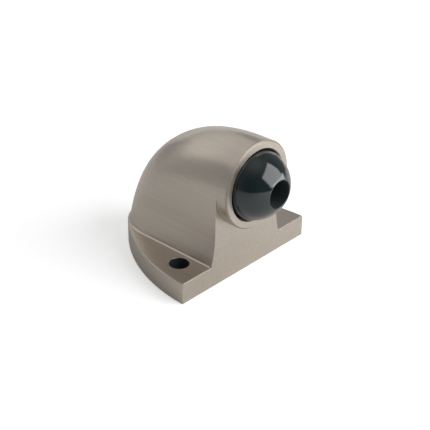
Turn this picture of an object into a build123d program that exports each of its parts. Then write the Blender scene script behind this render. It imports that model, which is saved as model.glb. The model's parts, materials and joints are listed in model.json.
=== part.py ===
from build123d import *
from math import radians, sin
import os

# Angled wall door stop: one hooded casting with two screw ears, a rubber bumper
# in its ring and the screw that holds the bumper. Millimetres. The origin lies on
# the mounting face, midway between the two ear holes; the bumper looks along -Y.

# Foot plate and its two ear holes
base_width = 63.5
base_thickness = 7.9
ear_hole_diameter = 6.9
ear_hole_spacing = 45.9
ear_hole_setback = 10.1
plate_rim = 0.6
plate_nose_turn = 47.0

# Hood: the domed body that rises from the plate to the bumper ring
hood_height = 50.8
hood_foot_half_width = 17.8
flare_top = 20.0
brow_straight = 0.7
brow_radius = 65.0
brow_turn = 13.5
ridge_radius = 43.5
crown_flat = 0.1
root_bevel = 0.35
edge_break = 0.2
edge_break_angle = 90.0

# Bumper ring at the front of the hood
ring_radius = 15.9
ring_projection = 4.6
ring_edge = 0.5
socket_radius = 12.65
socket_depth = 9.0
socket_lip = 0.6

# Rubber bumper
bumper_clearance = 0.15
ball_setback = 1.75
bumper_hole_radius = 5.0
bumper_web = 4.0
bumper_rim = 0.3

# Bumper screw
screw_radius = 2.4
screw_length = 14.0
screw_clearance = 0.1
screw_end_gap = 1.5
screw_head_radius = 4.6
screw_head_height = 3.4
screw_head_chamfer = 1.0
recess_span = 5.2
recess_width = 1.3
recess_depth = 1.9

# How closely an edge is picked by its height
pick_tolerance = 0.01
plate_top_band = (base_thickness - pick_tolerance, base_thickness + pick_tolerance)

# Stations that the pieces share
front_y = -ear_hole_setback
ring_face_y = front_y - ring_projection
ring_axis_z = hood_height - ring_radius
brow_y = front_y + brow_straight
nose_y = brow_y + (brow_radius - ridge_radius) * sin(radians(brow_turn)) + ridge_radius
hood_round = ring_radius - crown_flat
socket_floor_y = ring_face_y + socket_depth
bumper_radius = socket_radius - bumper_clearance
ball_y = ring_face_y + ball_setback
ring_face = Plane(origin=(0, ring_face_y, ring_axis_z), x_dir=(1, 0, 0), z_dir=(0, -1, 0))
web_face_y = socket_floor_y - bumper_web
web_face = ring_face.offset(ring_face_y - web_face_y)

# The casting. The hood is the front outline run back and cut to the side outline,
# with its long upper edges rounded into one arch that follows the ridge down.
with BuildPart() as stop_body:
    with BuildSketch(Plane.XZ.offset(-ring_face_y)):
        with BuildLine():
            foot = Line((0, base_thickness), (hood_foot_half_width, base_thickness))
            flare = TangentArc((ring_radius, flare_top), foot @ 1, tangent=(0, -1))
            wall = Line(flare @ 0, (ring_radius, hood_height))
            Line(wall @ 1, (0, hood_height))
            mirror(about=Plane.YZ)
        make_face()
    extrude(amount=ring_face_y - nose_y)
    with BuildSketch(Plane.YZ):
        with BuildLine():
            crown = Line((ring_face_y, hood_height), (brow_y, hood_height))
            brow = JernArc(crown @ 1, crown % 1, brow_radius, -brow_turn)
            ridge = JernArc(brow @ 1, brow % 1, ridge_radius, brow_turn - 90)
            Polyline(ridge @ 1, (nose_y, 0), (ring_face_y, 0), crown @ 0)
        make_face()
    extrude(amount=base_width, both=True, mode=Mode.INTERSECT)
    ridge_faces = stop_body.faces().filter_by(
        lambda face: face.normal_at().Y + face.normal_at().Z > abs(face.normal_at().X))
    fillet(ridge_faces.edges().filter_by(Axis.X, reverse=True), radius=hood_round)

    # Below the arch the ring stands out from the front face as a plain cylinder
    with BuildSketch(ring_face):
        Rectangle(base_width, ring_axis_z, align=(Align.CENTER, Align.MAX))
        Circle(ring_radius, mode=Mode.SUBTRACT)
    extrude(amount=-ring_projection, mode=Mode.SUBTRACT)

    # Foot plate: its sides sweep back in two arcs to a nose that follows the hood
    with BuildSketch(Plane.XY):
        with BuildLine():
            front_edge = Line((0, front_y), (base_width / 2, front_y))
            nose_arc = CenterArc(
                (hood_foot_half_width - hood_round, nose_y - hood_round),
                hood_round + plate_rim, 90 - plate_nose_turn, plate_nose_turn)
            TangentArc(nose_arc @ 0, front_edge @ 1, tangent=-(nose_arc % 0))
            Line(nose_arc @ 1, (0, nose_y + plate_rim))
            mirror(about=Plane.YZ)
        make_face()
    extrude(amount=base_thickness)

    # The plate's sharp top edge is broken, and a bevel fills the root of the hood
    plate_top_edges = stop_body.edges().filter_by_position(Axis.Z, *plate_top_band)
    chamfer(plate_top_edges.filter_by(lambda edge: not edge.is_interior), length=edge_break)
    plate_top_edges = stop_body.edges().filter_by_position(Axis.Z, *plate_top_band)
    chamfer(plate_top_edges.filter_by(lambda edge: edge.is_interior), length=root_bevel)

    with Locations((0, 0, base_thickness)):
        with GridLocations(ear_hole_spacing, 0, 2, 1):
            CounterSinkHole(
                ear_hole_diameter / 2, ear_hole_diameter / 2 + edge_break,
                counter_sink_angle=edge_break_angle)
    with Locations(ring_face):
        CounterBoreHole(
            screw_radius + screw_clearance, socket_radius, socket_depth,
            depth=socket_depth + screw_length - bumper_web + screw_end_gap)
    ring_edges = stop_body.edges().filter_by_position(Axis.Y, ring_face_y, ring_face_y)
    chamfer(ring_edges.sort_by(SortBy.LENGTH)[-1], length=socket_lip)
    chamfer(ring_edges.sort_by(SortBy.LENGTH)[:-1], length=ring_edge)
stop_body.part.label = "stop_body"

# The bumper: a plug in the socket that ends in a half ball, bored for the screw head.
# The ball's centre lies a little inside the ring face.
with BuildPart() as rubber_bumper:
    with BuildSketch(Plane.YZ) as bumper_section:
        with BuildLine():
            back = Line((socket_floor_y, ring_axis_z), (socket_floor_y, ring_axis_z + bumper_radius))
            side = Line(back @ 1, (ball_y, ring_axis_z + bumper_radius))
            ball = RadiusArc(side @ 1, (ball_y - bumper_radius, ring_axis_z), -bumper_radius)
            Line(ball @ 1, back @ 0)
        make_face()
        with BuildLine():
            Polyline(
                (socket_floor_y, ring_axis_z),
                (socket_floor_y, ring_axis_z + screw_radius + screw_clearance),
                (web_face_y, ring_axis_z + screw_radius + screw_clearance),
                (web_face_y, ring_axis_z + bumper_hole_radius),
                (ball_y - bumper_radius, ring_axis_z + bumper_hole_radius),
                (ball_y - bumper_radius, ring_axis_z),
                close=True)
        make_face(mode=Mode.SUBTRACT)
        chamfer(bumper_section.vertices().sort_by(Axis.X)[0], length=bumper_rim)
    revolve(axis=Axis((0, ball_y, ring_axis_z), (0, 1, 0)))
rubber_bumper.part.label = "rubber_bumper"

# The bumper screw: a pan head on the web, its shank through into the casting
with BuildPart() as bumper_screw:
    with BuildSketch(web_face):
        Circle(screw_head_radius)
    extrude(amount=screw_head_height)
    chamfer(bumper_screw.edges().sort_by(Axis.Y)[0], length=screw_head_chamfer)
    with BuildSketch(web_face.offset(screw_head_height)):
        Rectangle(recess_span, recess_width)
        Rectangle(recess_width, recess_span)
    extrude(amount=-recess_depth, mode=Mode.SUBTRACT)
    with BuildSketch(web_face):
        Circle(screw_radius)
    extrude(amount=-screw_length)
bumper_screw.part.label = "bumper_screw"

os.makedirs("parts", exist_ok=True)
export_step(stop_body.part, "parts/stop_body.step")
export_step(rubber_bumper.part, "parts/rubber_bumper.step")
export_step(bumper_screw.part, "parts/bumper_screw.step")
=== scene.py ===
# %% [markdown]
# # An angled wall door stop in satin nickel
#
# The stop is one hooded casting with two screw ears. A round ring at the front of
# the hood holds a black rubber bumper, and a pan head screw holds the bumper. The
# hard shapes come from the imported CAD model. This lesson gives them their finish,
# turns a softer bumper on a spin, and sets up the floor, the lamps and the camera.

import json
import math

import bmesh
import bpy
from mathutils import Matrix, Vector

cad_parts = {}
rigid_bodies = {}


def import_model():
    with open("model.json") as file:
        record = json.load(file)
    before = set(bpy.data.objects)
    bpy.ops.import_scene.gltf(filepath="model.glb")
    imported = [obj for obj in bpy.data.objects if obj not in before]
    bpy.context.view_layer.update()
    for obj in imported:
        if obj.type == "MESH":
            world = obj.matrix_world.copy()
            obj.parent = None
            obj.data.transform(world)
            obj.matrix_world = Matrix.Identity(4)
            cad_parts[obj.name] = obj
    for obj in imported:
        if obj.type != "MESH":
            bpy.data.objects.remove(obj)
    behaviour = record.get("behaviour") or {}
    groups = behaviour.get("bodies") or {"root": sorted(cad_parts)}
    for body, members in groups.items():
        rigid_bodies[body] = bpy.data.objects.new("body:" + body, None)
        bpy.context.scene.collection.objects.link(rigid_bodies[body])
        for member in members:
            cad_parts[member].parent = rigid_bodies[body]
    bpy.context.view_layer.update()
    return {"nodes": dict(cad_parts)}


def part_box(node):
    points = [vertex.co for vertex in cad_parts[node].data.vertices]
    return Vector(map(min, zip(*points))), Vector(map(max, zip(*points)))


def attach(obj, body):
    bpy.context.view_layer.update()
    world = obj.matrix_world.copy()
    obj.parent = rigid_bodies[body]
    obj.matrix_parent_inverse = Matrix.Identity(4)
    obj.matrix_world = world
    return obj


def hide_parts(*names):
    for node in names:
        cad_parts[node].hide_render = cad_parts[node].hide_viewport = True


for leftover in list(bpy.data.objects):
    bpy.data.objects.remove(leftover)

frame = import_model()
nodes = frame["nodes"]
print("nodes", sorted(nodes))

# %% [markdown]
# ## The bumper's axis
#
# The ring, the rubber and the screw share one axis that runs straight out of the
# hood. Its height could be copied by hand. It is read from the CAD nodes' boxes
# instead, so a new piece lands where the old one was, and no size is guessed twice.
# A box gives the lowest and the highest corner in metres.

# %% Read the axis, the ring's face and the socket's floor
MILLIMETRE = 0.001

bumper_low, bumper_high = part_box("rubber_bumper")
body_low, body_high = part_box("stop_body")
axis_height = (bumper_low.z + bumper_high.z) / 2
bumper_radius = (bumper_high.x - bumper_low.x) / 2
socket_floor_y = bumper_high.y
ring_face_y = body_low.y
ring_radius = body_high.z - axis_height
print("axis height", round(axis_height, 5), "bumper radius", round(bumper_radius, 5))
print("ring face at", round(ring_face_y, 5), "ring radius", round(ring_radius, 5))

# %% [markdown]
# ## Writing a material as a sum
#
# A node material is arithmetic on the numbers that come out of its textures. The
# Math nodes could be added and joined one by one, but a long formula gets lost that
# way. Here each number is wrapped in a small class whose operators add the Math
# nodes, so a formula reads as it would on paper, and 1 - mask works as mask - 1 does.


# %% A number that can be added, taken away, multiplied and raised to a power
class Wire:
    """A number that varies over the surface, as it leaves one socket of a node."""

    def __init__(self, recipe, socket):
        self.recipe = recipe
        self.socket = socket

    def math(self, operation, first, second):
        return self.recipe.node("Math", {"operation": operation}, {0: first, 1: second})

    def __add__(self, other):
        return self.math("ADD", self, other)

    def __radd__(self, other):
        return self.math("ADD", other, self)

    def __sub__(self, other):
        return self.math("SUBTRACT", self, other)

    def __rsub__(self, other):
        return self.math("SUBTRACT", other, self)

    def __mul__(self, other):
        return self.math("MULTIPLY", self, other)

    def __rmul__(self, other):
        return self.math("MULTIPLY", other, self)

    def __pow__(self, other):
        return self.math("POWER", self, other)

    def __rpow__(self, other):
        return self.math("POWER", other, self)

    def most(self, other):
        return self.math("MAXIMUM", self, other)

    def size(self):
        return self.recipe.node("Math", {"operation": "ABSOLUTE"}, {0: self})


print("wires ready")

# %% [markdown]
# A recipe holds one material, or the world. Its node method takes the node's type,
# the settings that change its sockets, which come first, and then the sockets'
# values or wires. The other methods are short names for nodes that this lesson
# uses again and again. The two slopes, rises and falls, make the masks.


# %% A recipe that grows one material's nodes
class Recipe:
    """One material or world, and the few ways in which this lesson adds nodes to it."""

    def __init__(self, owner):
        self.owner = owner
        self.owner.use_nodes = True
        self.tree = self.owner.node_tree
        self.tree.nodes.clear()

    def node(self, kind, settings=None, sockets=None, out=0):
        made = self.tree.nodes.new("ShaderNode" + kind)
        for setting, value in (settings or {}).items():
            setattr(made, setting, value)
        for socket, value in (sockets or {}).items():
            if isinstance(value, Wire):
                self.tree.links.new(value.socket, made.inputs[socket])
            else:
                made.inputs[socket].default_value = value
        return Wire(self, made.outputs[out]) if made.outputs else None

    def place(self):
        return self.node("TexCoord", out="Object")

    def along_axes(self):
        """Object coordinates as three numbers."""
        return [self.node("SeparateXYZ", {}, {0: self.place()}, out=axis) for axis in "XYZ"]

    def scaled(self, scales):
        """Object coordinates, multiplied along each axis."""
        return self.node("VectorMath", {"operation": "MULTIPLY"}, {0: self.place(), 1: scales})

    def from_axis(self):
        """How far a point lies from the bumper's axis."""
        x, _, z = self.along_axes()
        above_axis = z - axis_height
        return (x * x + above_axis * above_axis) ** 0.5

    def noise(self, where, scale, detail=2.0, roughness=0.5):
        sockets = {"Vector": where, "Scale": scale, "Detail": detail, "Roughness": roughness}
        return self.node("TexNoise", {}, sockets)

    def ramp(self, value, low, high, from_low=0.0, from_high=1.0):
        sockets = {0: value, 1: from_low, 2: from_high, 3: low, 4: high}
        return self.node("MapRange", {"clamp": True}, sockets)

    def rises(self, value, edge, start, end):
        """0 up to start and 1 beyond end, both in millimetres past the edge."""
        return self.ramp(value, 0.0, 1.0, edge + start * MILLIMETRE, edge + end * MILLIMETRE)

    def falls(self, value, edge, start, end):
        """1 up to start and 0 beyond end, both in millimetres past the edge."""
        return self.ramp(value, 1.0, 0.0, edge + start * MILLIMETRE, edge + end * MILLIMETRE)

    def colours(self, mask, first, second):
        first, second = (c if isinstance(c, Wire) else (*c, 1) for c in (first, second))
        return self.node("Mix", {"data_type": "RGBA"}, {0: mask, 6: first, 7: second}, out=2)

    def bump(self, height, strength, distance):
        sockets = {"Height": height, "Strength": strength, "Distance": distance}
        return self.node("Bump", {}, sockets)

    def finish(self, shader, kind="Material"):
        self.node("Output" + kind, {}, {"Surface": shader})
        return self.owner


print("recipes ready")

# %% [markdown]
# ## Satin nickel
#
# The casting is zinc or brass under a thin coat of nickel, rubbed with a fine
# abrasive belt before it is sealed. The two screw holes and the bumper's socket are
# painted near black and matt: painted shade for the deep holes, which also draws a
# black line, a painted shadow, round the rubber.
#
# That painted shade could be a second material on the holes' faces, but the CAD mesh
# is left as it is. So a mask finds the places instead, by the distance from each
# hole's axis, and it ends on the screw holes' broken rims.


# %% Where the holes' painted shade goes
ear_hole_offset = 22.95 * MILLIMETRE
ear_hole_radius = 3.45 * MILLIMETRE
socket_radius = 12.65 * MILLIMETRE
plate_top = 7.9 * MILLIMETRE


def painted_hole_shade(nickel):
    x, y, z = nickel.along_axes()
    across = x.size() - ear_hole_offset
    from_hole = (across * across + y * y) ** 0.5
    ear_holes = (nickel.falls(from_hole, ear_hole_radius, 0.10, 0.18)
                 * nickel.falls(z, plate_top, -0.08, -0.02))
    socket = (nickel.falls(nickel.from_axis(), socket_radius, 0.2, 0.3)
              * nickel.rises(y, ring_face_y, 0.3, 0.4)
              * nickel.falls(y, socket_floor_y, 0.2, 0.4))
    return ear_holes.most(socket)


print("bare skin at x", round(ear_hole_offset, 5), "and in the socket", round(socket_radius, 5))

# %% [markdown]
# The belt also skips the small slopes that break the front's outer edges: the ring's
# and, beyond the hood's foot, the ears'. They stay matt, and their colour is painted
# darker, a painted shade that keeps them from flashing under a lamp and draws a dark
# line round the ring. That mask is made the same way, from the edges' places.


# %% Where the belt skips the edges, and shade is painted on them
plate_front_y = -10.1 * MILLIMETRE
hood_foot_half_width = 17.8 * MILLIMETRE


def matt_and_shaded_edges(nickel):
    x, y, z = nickel.along_axes()
    ring_edge = (nickel.rises(nickel.from_axis(), ring_radius, -0.55, -0.4)
                 * nickel.falls(y, ring_face_y, 0.5, 0.7))
    ear_edge = (nickel.rises(z, plate_top, -0.4, -0.2)
                * nickel.falls(y, plate_front_y, 0.2, 0.4)
                * nickel.rises(x.size(), hood_foot_half_width, 0.0, 0.2))
    return ring_edge.most(ear_edge)


print("matt edges at y", round(ring_face_y, 5), "and", round(plate_front_y, 5))

# %% [markdown]
# The belt runs along the hood, so its scratches are long in Y and very narrow across
# it. They are too fine to see one by one, and show as faint streaks where the light
# grazes them. Anisotropic gloss would need a direction at each point. A noise that is
# squeezed across the belt and stretched along it gives the streaks more simply. The
# front face was rubbed from side to side, so a mask on the face's own direction
# turns the streaks there.

# %% The nickel's colours, and how often its marks change in a metre
nickel_shaded = (0.452, 0.404, 0.349)
nickel_bright = (0.560, 0.500, 0.433)
# painted shade for the front's outer edges
nickel_edge_shade = (0.20, 0.18, 0.156)
# painted shade: the near-black that the holes are painted for their shade
hole_shade_colour = (0.022, 0.032, 0.036)
fine_marks_along = (5200, 120, 5200)
fine_marks_across = (140, 5200, 4200)
wide_marks_along = (900, 26, 900)
cloud_scale = 70.0
print("finest mark about", round(1 / fine_marks_along[0] / MILLIMETRE, 2), "mm wide")

# %% How rough the nickel is
polished_nickel, dull_nickel = 0.29, 0.38
matt_edge_extra = 0.25
hole_roughness = 0.6
mark_depth = 0.02 * MILLIMETRE
print("nickel's roughness from", polished_nickel, "to", dull_nickel)


# %% The nickel's streaks and sheen
def satin_nickel():
    nickel = Recipe(bpy.data.materials.new("satin_nickel_brushed"))
    facing = nickel.node("TexCoord", out="Normal")
    forward = nickel.node("SeparateXYZ", {}, {0: facing}, out="Y").size()
    on_front = nickel.ramp(forward, 0.0, 1.0, 0.75, 0.9)

    belt_along = nickel.noise(nickel.scaled(fine_marks_along), 1.0, 3.0, 0.6)
    belt_across = nickel.noise(nickel.scaled(fine_marks_across), 1.0, 3.0, 0.6)
    streaks = belt_along * (1 - on_front) + belt_across * on_front
    wide_streaks = nickel.noise(nickel.scaled(wide_marks_along), 1.0)
    clouds = nickel.noise(nickel.place(), cloud_scale)
    shaded_holes = painted_hole_shade(nickel)
    matt_and_shade = matt_and_shaded_edges(nickel)

    marks = streaks * 0.4 + wide_streaks * 0.45 + clouds * 0.15
    shade = nickel.ramp(marks, 0.0, 1.0, 0.25, 0.75)
    rubbed = nickel.colours(shade, nickel_shaded, nickel_bright)
    # painted shade on those edges, half way to a darker colour
    rubbed_with_edge_shade = nickel.colours(matt_and_shade * 0.5, rubbed, nickel_edge_shade)
    rubbed_roughness = nickel.ramp(streaks * 0.7 + clouds * 0.3,
                                   polished_nickel, dull_nickel, 0.3, 0.7)
    coated_roughness = rubbed_roughness + matt_and_shade * matt_edge_extra
    shader = nickel.node("BsdfPrincipled", {}, {
        # The holes get the painted shade's near-black colour, and no metal
        "Base Color": nickel.colours(shaded_holes, rubbed_with_edge_shade, hole_shade_colour),
        "Metallic": 1 - shaded_holes,
        "Roughness": coated_roughness * (1 - shaded_holes) + shaded_holes * hole_roughness,
        "Normal": nickel.bump(streaks, 0.10, mark_depth),
    })
    return nickel.finish(shader)


nickel_material = satin_nickel()
print("made", nickel_material.name)

# %% [markdown]
# ## Black rubber
#
# The bumper is moulded in a polished tool, so it is smooth and a little glossy. Its
# black leans to green and blue, and it carries the faint bloom of moulded rubber.
# The pin that leaves its bore isn't polished, so the bore's wall is matt. Its grey is
# painted light, a lift of light in the dark bore.
# One even black would look like painted metal. Three noises keep it rubber: a slow
# swell that bends the reflections, the bloom, and a fine grain.

# %% The rubber's colours, its gloss and its bore
rubber_black = (0.0085, 0.0160, 0.0168)
rubber_bloom = (0.0120, 0.0205, 0.0215)
# painted light: the bore is painted a lighter grey than the rubber round it
bore_painted_light = (0.024, 0.034, 0.034)
swell_scale, bloom_scale, grain_scale = 180.0, 420.0, 2600.0
polished_rubber, bloomed_rubber, bore_roughness = 0.08, 0.14, 0.55
rubber_ior = 1.62
swell_depth = 0.4 * MILLIMETRE
bore_radius = 5.0 * MILLIMETRE
print("matt inside the bore's radius", bore_radius)


# %% The rubber's black and its bloom
def moulded_rubber():
    rubber = Recipe(bpy.data.materials.new("black_rubber_moulded"))
    swell = rubber.noise(rubber.place(), swell_scale)
    bloom = rubber.noise(rubber.place(), bloom_scale, 3.0, 0.6)
    grain = rubber.noise(rubber.place(), grain_scale)
    in_bore = rubber.falls(rubber.from_axis(), bore_radius, 0.02, 0.10)

    skin = rubber.colours(rubber.ramp(bloom, 0.0, 1.0, 0.35, 0.7), rubber_black, rubber_bloom)
    gloss = rubber.ramp(bloom * 0.7 + grain * 0.3, polished_rubber, bloomed_rubber, 0.3, 0.7)
    shader = rubber.node("BsdfPrincipled", {}, {
        # the bore's lighter grey is painted light
        "Base Color": rubber.colours(in_bore, skin, bore_painted_light),
        "Metallic": 0.0,
        "Roughness": gloss * (1 - in_bore) + in_bore * bore_roughness,
        "IOR": rubber_ior,
        "Normal": rubber.bump(swell * 0.8 + grain * 0.05, 0.10, swell_depth),
    })
    return rubber.finish(shader)


rubber_material = moulded_rubber()
print("made", rubber_material.name)

# %% [markdown]
# ## Screw steel
#
# The screw is plain zinc plated steel, seen only down the bumper's bore. Turning
# left fine rings round its axis. Cutting them into the mesh would cost thousands of
# faces, so a sine of the distance from the axis gives them, in the relief and in
# the roughness alike.

# %% The steel's colours and its rings
steel_shaded = (0.36, 0.36, 0.37)
steel_bright = (0.46, 0.46, 0.465)
speck_scale = 900.0
ring_waves = 21000.0
ring_depth = 0.01 * MILLIMETRE
print("rings", round(math.tau / ring_waves / MILLIMETRE, 2), "mm apart")


# %% The steel's turned rings
def turned_steel():
    steel = Recipe(bpy.data.materials.new("screw_steel_turned"))
    rings = steel.node("Math", {"operation": "SINE"}, {0: steel.from_axis() * ring_waves})
    specks = steel.noise(steel.place(), speck_scale)
    shader = steel.node("BsdfPrincipled", {}, {
        "Base Color": steel.colours(specks, steel_shaded, steel_bright),
        "Metallic": 1.0,
        "Roughness": steel.ramp(rings * 0.5 + specks, 0.28, 0.42, -0.2, 1.2),
        "Normal": steel.bump(rings, 0.15, ring_depth),
    })
    return steel.finish(shader)


steel_material = turned_steel()
print("made", steel_material.name)

# %% [markdown]
# ## Dressing the casting and the screw
#
# Both pieces have their true shape in the CAD model already, so they aren't built
# again. Their nodes keep their meshes, and only their material slots change.

# %% Dress the casting and the screw
for name, material in (("stop_body", nickel_material), ("bumper_screw", steel_material)):
    for slot in nodes[name].material_slots:
        slot.material = material
    print(name, "wears", material.name)

# %% [markdown]
# ## The rubber bumper
#
# The bumper is moulded, so the mouth and the bottom of its bore and the plug's back
# corner are softly rounded. It is a body of revolution. It could be cut from a
# sphere and two cylinders, but a spin is the natural way to make one: draw half of
# its section beside the axis and carry that line round once.

# %% The section's stations along the axis
shank_hole_radius = 2.5 * MILLIMETRE
web_y = socket_floor_y - 4.0 * MILLIMETRE
ball_y = socket_floor_y - 7.25 * MILLIMETRE
corner_round = 0.45 * MILLIMETRE
ball_steps = 24
corner_steps = 6
turn_steps = 128
print("ball centre at", round(ball_y, 5), "mouth at", round(bumper_low.y, 5))


# %% Draw half of the section and round its corners
def bumper_section():
    section = bmesh.new()

    def station(out, along):
        return section.verts.new((out, along, axis_height))

    # The ball runs from the plug's front edge to the circle where the bore cuts it
    equator = station(bumper_radius, ball_y)
    arc = bmesh.ops.spin(section, geom=[equator], cent=(0, ball_y, axis_height),
                         axis=(0, 0, -1), dvec=(0, 0, 0),
                         angle=math.acos(bore_radius / bumper_radius),
                         steps=ball_steps, use_duplicate=False)
    mouth = [v for v in arc["geom_last"] if isinstance(v, bmesh.types.BMVert)][0]
    plug_back = station(bumper_radius, socket_floor_y)
    hole_back = station(shank_hole_radius, socket_floor_y)
    hole_front = station(shank_hole_radius, web_y)
    bore_bottom = station(bore_radius, web_y)
    line = (mouth, bore_bottom, hole_front, hole_back, plug_back, equator)
    for start, end in zip(line, line[1:]):
        section.edges.new((start, end))
    bmesh.ops.bevel(section, geom=[mouth, bore_bottom, plug_back], affect="VERTICES",
                    offset=corner_round, segments=corner_steps, profile=0.5, material=-1)
    return section


section_now = bumper_section()
print("section has", len(section_now.verts), "points")


# %% Carry the section round the axis
def bumper_mesh(section):
    bmesh.ops.spin(section, geom=section.edges[:] + section.verts[:],
                   cent=(0, 0, axis_height), axis=(0, 1, 0), dvec=(0, 0, 0),
                   angle=math.tau, steps=turn_steps, use_merge=True)
    bmesh.ops.remove_doubles(section, verts=section.verts, dist=1e-7)
    bmesh.ops.recalc_face_normals(section, faces=section.faces)
    mesh = bpy.data.meshes.new("moulded_bumper")
    section.to_mesh(mesh)
    section.free()
    return mesh


moulded_bumper = bpy.data.objects.new("moulded_bumper", bumper_mesh(section_now))
bpy.context.scene.collection.objects.link(moulded_bumper)
moulded_bumper.data.materials.append(rubber_material)
moulded_bumper.data.shade_smooth()
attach(moulded_bumper, "root")
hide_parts("rubber_bumper")
print("bumper faces", len(moulded_bumper.data.polygons))

# %% [markdown]
# ## The floor
#
# The stop stands on its mounting face on a pale sheet. More lamps would turn the
# sheet white, but they would bleach the stop as well. So a little glow, which only
# the camera and the reflections see, lifts the sheet's own white, and the stop's
# soft shadow stays on it. The glow grows with the distance, until the sheet joins
# the white beyond it. In reflections it lies in front and to the right, where the
# photograph's front face mirrors a brighter sheet than the hood's side does.

# %% The sheet's white and its glow
floor_white = (0.86, 0.86, 0.86, 1)
near_floor, far_floor = 0.25, 0.7
near_glow, far_glow_extra = 0.45, 0.55
card_start, card_end = -0.03, 0.07
card_right, card_forward = 0.74, 0.67
mirrored_glow, card_glow_extra = 0.01, 0.22
print("sheet fades to white from", near_floor, "to", far_floor)


# %% A white floor that keeps the shadow
def pale_floor():
    floor = Recipe(bpy.data.materials.new("pale_floor"))
    seen = floor.node("LightPath", out="Is Camera Ray")
    mirrored = floor.node("LightPath", out="Is Glossy Ray")
    through = floor.node("LightPath", out="Is Transmission Ray")
    distance = floor.node("VectorMath", {"operation": "LENGTH"}, {0: floor.place()},
                          out="Value")
    far = floor.ramp(distance, 0.0, 1.0, near_floor, far_floor)
    x, y, _ = floor.along_axes()
    in_front = floor.ramp(x * card_right - y * card_forward, 0.0, 1.0, card_start, card_end)
    strength = (seen * (far * far_glow_extra + near_glow)
                + mirrored.most(through) * (in_front * card_glow_extra + mirrored_glow))
    glow = floor.node("Emission", {}, {"Color": (1, 1, 1, 1), "Strength": strength})
    matt_and_shade = floor.node("BsdfDiffuse", {}, {"Color": floor_white})
    return floor.finish(floor.node("AddShader", {}, {0: matt_and_shade, 1: glow}))


floor_shape = bmesh.new()
bmesh.ops.create_circle(floor_shape, cap_ends=True, radius=6.0, segments=64)
floor_mesh = bpy.data.meshes.new("floor")
floor_shape.to_mesh(floor_mesh)
floor_shape.free()
floor_object = bpy.data.objects.new("floor", floor_mesh)
bpy.context.scene.collection.objects.link(floor_object)
floor_mesh.materials.append(pale_floor())
print("floor laid, faces", len(floor_mesh.polygons))

# %% [markdown]
# ## The lamps
#
# The highlight on the bumper is a picture of the studio. It shows one big softbox in
# front, to the right and above. A low panel below it lights the front face, one at
# the back draws the long light over the arch, and a low strip at the back right
# lights the arch's far edge. Point lamps would leave hard spots on the satin, so all
# four are wide. A lamp's power is worked out from how bright its face looks, so that
# lamps of different sizes can be compared. Azimuth 0 is in front, 90 to the right.

# %% Place the softboxes
lamps_aim_at = Vector((0, -0.015, 0.03))


def softbox(name, azimuth, elevation, distance, sides, brightness, turn=0.0):
    lamp = bpy.data.lights.new(name, "AREA")
    lamp.shape = "RECTANGLE"
    lamp.size, lamp.size_y = sides
    lamp.energy = brightness * math.pi * lamp.size * lamp.size_y
    box = bpy.data.objects.new(name, lamp)
    swing, rise = math.radians(azimuth), math.radians(elevation)
    direction = Vector((math.sin(swing) * math.cos(rise), -math.cos(swing) * math.cos(rise),
                        math.sin(rise)))
    facing = direction.to_track_quat("Z", "Y").to_matrix().to_4x4()
    box.matrix_world = (Matrix.Translation(lamps_aim_at + direction * distance) @ facing
                        @ Matrix.Rotation(math.radians(turn), 4, "Z"))
    box.visible_camera = False
    bpy.context.scene.collection.objects.link(box)
    print(name, "power", round(lamp.energy, 2))


softbox("key_softbox", azimuth=26, elevation=34, distance=0.8, sides=(0.88, 0.70),
        brightness=3.3, turn=12)
softbox("front_panel", azimuth=38, elevation=6, distance=1.2, sides=(1.2, 0.30),
        brightness=4.8)
softbox("back_panel", azimuth=172, elevation=42, distance=1.0, sides=(1.4, 0.7),
        brightness=0.6)
softbox("low_panel", azimuth=135, elevation=7, distance=1.4, sides=(1.3, 0.25),
        brightness=1.0)

# %% [markdown]
# The room is dark round the camera. It has three pale walls and a pale ceiling, and
# each lights the world in a wide soft patch, worked out from the direction in which
# a ray leaves. A photographed room would do this too, but it would bring its own
# colours along. The camera itself never sees the room: where it looks past the floor
# it finds white.

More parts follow.
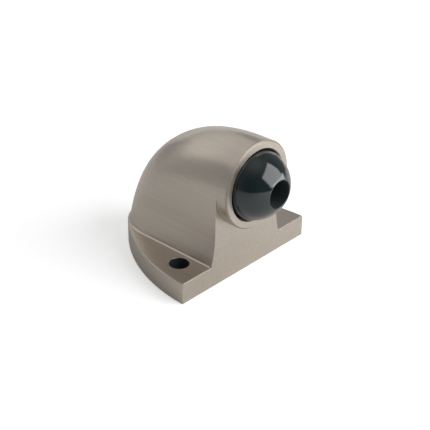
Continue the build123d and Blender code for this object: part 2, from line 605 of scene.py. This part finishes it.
# %% Paint the room into the world
room_light, ceiling_light = 0.07, 0.47
walls = {-140: 0.33, 100: 0.17, 180: 0.18}
wall_rise = 0.14
wall_narrowness, ceiling_narrowness = 3, 7


def pale_room():
    room = Recipe(bpy.data.worlds.new("studio"))
    outward = room.node("TexCoord", out="Generated")
    light = room_light
    for azimuth, brightness in walls.items():
        swing = math.radians(azimuth)
        towards = (math.sin(swing), -math.cos(swing), wall_rise)
        facing = room.node("VectorMath", {"operation": "DOT_PRODUCT"},
                           {0: outward, 1: towards}, out="Value")
        light = facing.most(0.0) ** wall_narrowness * brightness + light
    upward = room.node("SeparateXYZ", {}, {0: outward}, out="Z")
    light = upward.most(0.0) ** ceiling_narrowness * ceiling_light + light
    seen = room.node("LightPath", out="Is Camera Ray")
    light = light * (1 - seen) + seen
    shader = room.node("Background", {}, {"Color": (1, 1, 1, 1), "Strength": light})
    return room.finish(shader, "World")


bpy.context.scene.world = pale_room()
print("walls painted at", sorted(walls))

# %% [markdown]
# ## The camera
#
# The photograph looks down on the stop from the left of its front. The camera could
# be pointed at the stop's middle with a constraint, but then its roll is lost. So its
# three axes are written out from the angles that fit the photograph. A long lens
# keeps the plate's edges nearly parallel, as they are there.

# %% Aim the camera
turn_left = math.radians(48.05)
look_down = math.radians(30.10)
roll = math.radians(0.96)
camera_place = (-0.27181, -0.23979, 0.22743)
back = Vector((-math.sin(turn_left) * math.cos(look_down),
               -math.cos(turn_left) * math.cos(look_down), math.sin(look_down)))
right = Vector((math.cos(turn_left), -math.sin(turn_left), 0))
up = back.cross(right)
rolled_right = right * math.cos(roll) + up * math.sin(roll)
rolled_up = up * math.cos(roll) - right * math.sin(roll)

lens = bpy.data.cameras.new("camera")
lens.sensor_width = 36.0
lens.lens = 100.0
camera = bpy.data.objects.new("camera", lens)
axes = Matrix((rolled_right, rolled_up, back)).transposed().to_4x4()
camera.matrix_world = Matrix.Translation(camera_place) @ axes
bpy.context.scene.collection.objects.link(camera)
bpy.context.scene.camera = camera
bpy.context.scene.view_settings.view_transform = "Standard"
print("camera at", camera_place)
